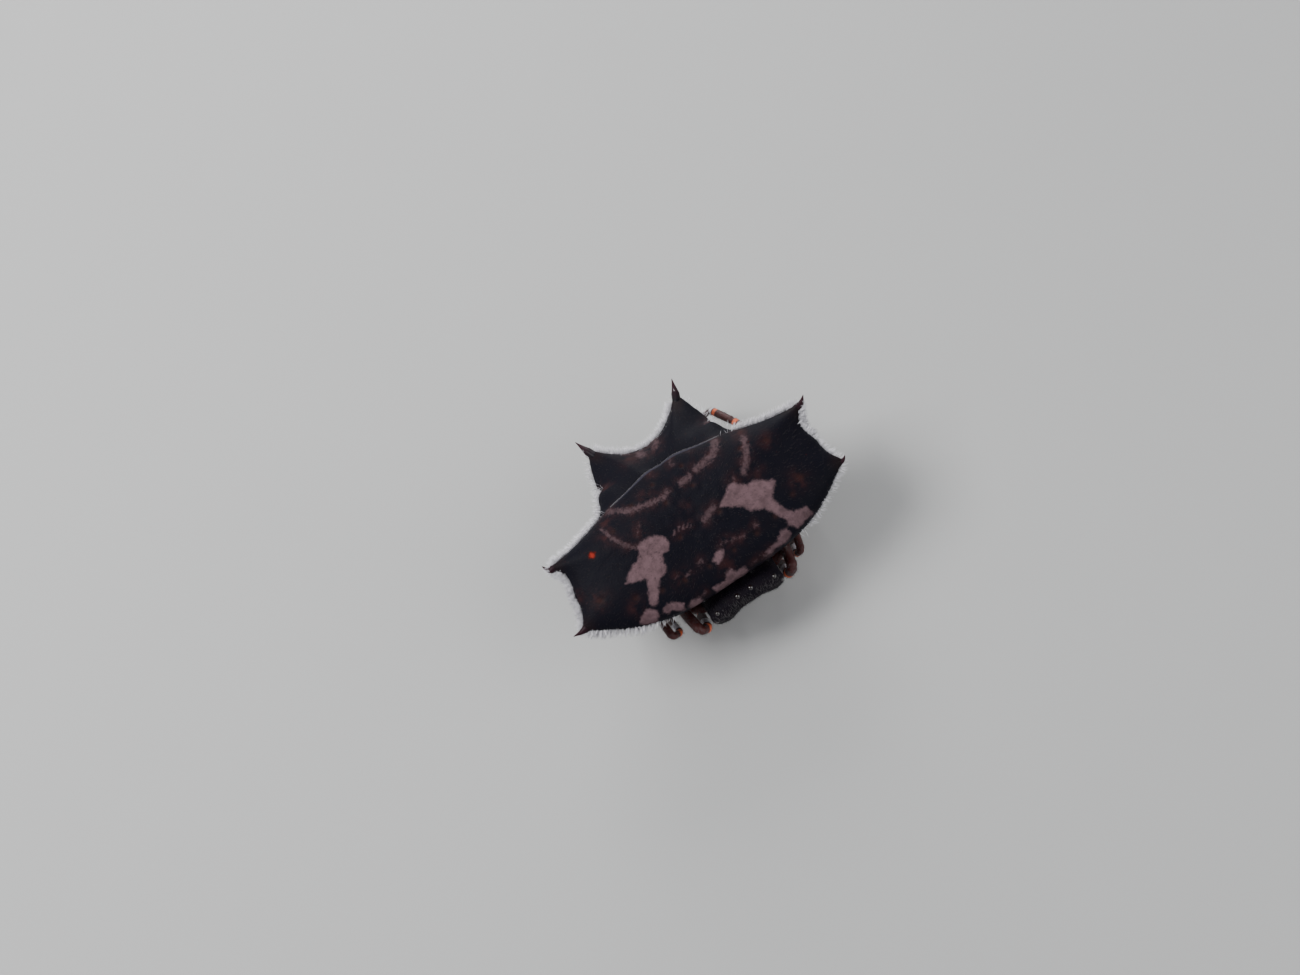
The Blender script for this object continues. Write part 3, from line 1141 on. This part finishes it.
class WEAVER_OT_coat(PieceOperator):
    """Plants short hairs: a pale fringe where they stand out at the edges and sparse dark ones elsewhere"""

    bl_idname = "weaver.coat"
    bl_label = "Hairs"

    def execute(self, context):
        self.coat = context.scene.weaver_coat
        self.finish = hair_finish(self.coat)
        self.draw_from = np.random.default_rng(17)
        self.abdomen()
        self.head()
        self.legs()
        return {"FINISHED"}

    def plant(self, name, slot, roots, normals, lie, lengths, thickness, homes, pale, tufting=0.0):
        """One piece of hairs, each a little off its lie, drawn by the tufting toward the mean tip of its
        tuft. Tufts are the cells of a lattice that ripples warp."""
        draw = self.draw_from
        way = unit(lie + draw.normal(0, 0.17, roots.shape))
        tips = roots + way * lengths[:, None]
        bent = roots / TUFT_SIZE + 0.9 * np.stack([ripples(roots, 0.4, seed) for seed in (21, 22, 23)], -1)
        _, tuft = np.unique(np.floor(bent + draw.normal(0, 0.15, roots.shape)), axis=0, return_inverse=True)
        tuft = tuft.reshape(-1)
        middle = np.stack([np.bincount(tuft, column) for column in tips.T], -1) / np.bincount(tuft)[:, None]
        way = unit(tips + tufting * (middle[tuft] - tips) - roots)
        radii = self.coat.radius / MM * thickness * draw.uniform(0.7, 1.15, len(roots))
        pale = pale * draw.uniform(0.65, 1.0, len(roots))
        part, patches = hairs(roots, normals, way, lengths, radii, homes, pale)
        add_piece(name, part, self.finish, patches=patches)

    def abdomen(self):
        """The fringe where the surface stands on edge, the crest, the back and the belly."""
        draw = self.draw_from
        skin = bpy.data.objects["abdomen_skin"].data
        origin, core = to_world((0, 0, 0)), to_world(CORE)
        axes = to_world(np.eye(3)) - origin
        up = axes[2]
        crest = 0.26 * axes[1] + 0.97 * axes[2]

        def spot(middle):
            place = (middle - origin) @ axes.T
            return (*place.T, *turn_and_lift(unit(place - CORE)))

        def at_rim(middle, normal):
            # None along the front between the corners, few at the corners, in the hollows before the rear
            # cones and on the left hind flank, and many at the side cones' tips.
            lateral, ahead, height, turn, lift = spot(middle)
            outer, left = np.abs(lateral), lateral > 0
            sides = 1 - past(-outer, -3.1, 0.15) * past(ahead, 1.6, 0.2)
            low = 0.1 + 0.9 * past(height, -1.7, 0.15)
            hollow = past(-turn, 37, 2) * past(lift, np.where(left, -11, -3), 0.7)
            front = np.where(ahead > 1.3, np.where(left, 0.15, 0.6), 1.0)
            front = np.where(left & (turn > -70) & (turn < -37), 0.2, front)
            tips = (1 + 3 * past(outer, 4.7, 0.08)) * past(-lift, -3, 0.4)
            return bell(normal @ up, 0.04, 0.22) * sides * low * (1 - hollow) * front * tips

        def at_crest(middle, normal):
            _, _, height, turn, _ = spot(middle)
            return bell(normal @ crest, 0, 0.12) * (turn < -42) * (height > -0.1)

        def on_back(_, normal):
            return np.clip(normal @ up - 0.5, 0, 1)

        def on_belly(_, normal):
            return np.clip(-(normal @ up) - 0.5, 0, 1)

        for (name, group), weights in zip(HAIRS.items(), (at_rim, at_crest, on_back, on_belly)):
            count, share, stand, thickness, pale, tufting = group
            length = (self.coat.fringe_length if name == "fringe" else self.coat.back_length) / MM * share
            roots, normals = scattered(skin, weights, count, draw)
            away = unit(roots - core)
            flat = unit(away - (away * normals).sum(1, keepdims=True) * normals)
            lengths = length * draw.uniform(0.4, 1.3, count)
            self.plant(f"{name}_hairs", "black_shell", roots, normals, normals * stand + flat * (1 - stand),
                       lengths, thickness, disc_map(away @ axes.T), pale, tufting)

    def head(self):
        """Short hairs on the head, clear of the eyes and a little paler at the front."""
        draw = self.draw_from
        front = figure((0, -4.5, 0))[1]

        def weights(middle, normal):
            return np.clip(normal[:, 2] + 0.5, 0.05, 1) + 1.5 * (middle[:, 1] < front)

        roots, normals = scattered(bpy.data.objects["head_shell"].data, weights, HEAD_HAIRS, draw)
        clear = np.all([np.linalg.norm(roots - figure(place), axis=1) > radius * 1.25
                        for place, radius in EYE_PLACES], axis=0)
        roots, normals = roots[clear], normals[clear]
        ahead = np.array([0, -0.6, 0.2])
        lie = normals * 0.45 + unit(ahead - normals * (normals @ ahead)[:, None]) * 0.55
        centre = roots.mean(0)
        turn = np.arctan2(roots[:, 2] - centre[2], roots[:, 0]) / (2 * np.pi) + 0.5
        homes = np.stack([0.03 + 0.94 * turn, 0.5 + (roots[:, 1] - centre[1]) / 3.2], -1)
        self.plant("head_hairs", "black_carapace", roots, normals, lie, draw.uniform(0.05, 0.13, len(roots)),
                   0.8, homes, 0.03 + 0.06 * (roots[:, 1] < front))

    def legs(self):
        """Short hairs on legs and palps, each skin's in a square of the unwrap."""
        draw = self.draw_from
        groups = []
        for i, name in enumerate([f"leg_skin_{name}" for name in LEGS] + ["palps"]):
            skin = bpy.data.objects[name].data
            roots, normals = scattered(skin, lambda middle, _: middle[:, 2] > 0.15, LEG_HAIRS, draw)
            low, high = roots.min(0), roots.max(0)
            homes = ((roots - low) / (high - low))[:, :2] * 0.26 + 0.02 + 0.33 * np.array([i % 3, i // 3])
            groups.append((roots, normals, normals * 0.5 + (0, -0.1, -0.45), homes))
        roots, normals, lie, homes = (np.concatenate(column) for column in zip(*groups))
        self.plant("leg_hairs", "red_brown_leg", roots, normals, lie, draw.uniform(0.06, 0.15, len(roots)),
                   0.75, homes, 0.12)


def studio_light(name, place, power, size):
    """A square soft light at a place in millimetres, turned to the figure's middle."""
    light = bpy.data.lights.new(name, "AREA")
    light.energy = power
    light.size = size * MM
    holder = bpy.data.objects.new(name, light)
    bpy.context.scene.collection.objects.link(holder)
    holder.location = Vector(place) * MM
    holder.rotation_euler = (Vector((0, 0, 2.5)) * MM - holder.location).to_track_quat("-Z", "Y").to_euler()


class WEAVER_OT_stage(PieceOperator):
    """Makes the pale floor, the soft lights and the camera at the photo's angle and framing"""

    bl_idname = "weaver.stage"
    bl_label = "Stage"

    def execute(self, context):
        stage = context.scene.weaver_stage
        corners = np.array([(-1, -1, 0), (1, -1, 0), (1, 1, 0), (-1, 1, 0)]) * FLOOR_SIZE / 2
        floor = bpy.data.objects.new("floor", make_mesh("floor", corners, [np.array([[0, 1, 2, 3]])]))
        context.scene.collection.objects.link(floor)
        paint = Paint("pale floor")
        floor.data.materials.append(paint.finish(
            Base_Color=paint.mix(paint.noise(6.0), stage.floor, stage.floor * 0.97), Roughness=0.75))
        studio_light("key", (-60, 40, 95), stage.key, 60)
        studio_light("fill", (70, -60, 60), stage.fill, 80)
        studio_light("rim", (30, 90, 35), stage.rim, 50)
        world = bpy.data.worlds.new("soft surroundings")
        world.use_nodes = True
        world.node_tree.nodes["Background"].inputs["Color"].default_value = (0.8, 0.83, 0.88, 1.0)
        world.node_tree.nodes["Background"].inputs["Strength"].default_value = 0.45
        context.scene.world = world
        self.add_camera(context, stage.lens)
        return {"FINISHED"}

    def add_camera(self, context, lens):
        """The camera looks from the head's side, 67 degrees up, rolled so that the left side points up to
        the right. Its distance makes one image pixel the size that the photo has at the disc."""
        back = np.array([0, -np.cos(VIEW_ELEVATION), np.sin(VIEW_ELEVATION)])
        level = np.array([1.0, 0, 0])
        rise = np.cross(back, level)
        right = np.cos(VIEW_ROLL) * level - np.sin(VIEW_ROLL) * rise
        up = np.sin(VIEW_ROLL) * level + np.cos(VIEW_ROLL) * rise
        off = (DISC_PIXEL[0] - IMAGE_SIZE[0] / 2, IMAGE_SIZE[1] / 2 - DISC_PIXEL[1])
        target = to_world((0, 0, 0)) - PIXEL_SIZE * (off[0] * right + off[1] * up)
        distance = PIXEL_SIZE * IMAGE_SIZE[0] * lens / SENSOR_WIDTH
        pose = np.eye(4)
        pose[:3] = np.stack([right, up, back, (target + back * distance) * MM], 1)
        camera = bpy.data.cameras.new("camera")
        camera.lens = lens
        camera.sensor_width = SENSOR_WIDTH
        camera.clip_start = 0.001
        camera.clip_end = 10.0
        holder = bpy.data.objects.new("camera", camera)
        context.scene.collection.objects.link(holder)
        holder.matrix_world = Matrix(pose.tolist())
        context.scene.camera = holder


OPERATORS = (
    WEAVER_OT_abdomen,
    WEAVER_OT_spines,
    WEAVER_OT_head,
    WEAVER_OT_mouthparts,
    WEAVER_OT_eyes,
    WEAVER_OT_legs,
    WEAVER_OT_spinnerets,
    WEAVER_OT_coat,
    WEAVER_OT_stage,
)
SETTINGS = {
    "weaver_shell": ShellSettings,
    "weaver_coat": CoatSettings,
    "weaver_legs": LegSettings,
    "weaver_stage": StageSettings,
}


class WEAVER_PT_panel(bpy.types.Panel):
    """Lists the pieces in the order in which they are made, under the settings"""

    bl_idname = "WEAVER_PT_panel"
    bl_label = "Spiny Orb Weaver"
    bl_space_type = "VIEW_3D"
    bl_region_type = "UI"
    bl_category = "Spiny Orb Weaver"

    def draw(self, context):
        for label, group in SETTINGS.items():
            box = self.layout.box()
            for setting in group.__annotations__:
                box.prop(getattr(context.scene, label), setting)
        for operator in OPERATORS:
            self.layout.operator(operator.bl_idname)


def register():
    for group in (*SETTINGS.values(), *OPERATORS, WEAVER_PT_panel):
        bpy.utils.register_class(group)
    for label, group in SETTINGS.items():
        setattr(bpy.types.Scene, label, PointerProperty(type=group))


def unregister():
    for label in SETTINGS:
        delattr(bpy.types.Scene, label)
    for group in (WEAVER_PT_panel, *reversed(OPERATORS), *reversed(SETTINGS.values())):
        bpy.utils.unregister_class(group)


def main():
    register()
    for operator in OPERATORS:
        family, name = operator.bl_idname.split(".")
        getattr(getattr(bpy.ops, family), name)()


if __name__ == "__main__":
    main()
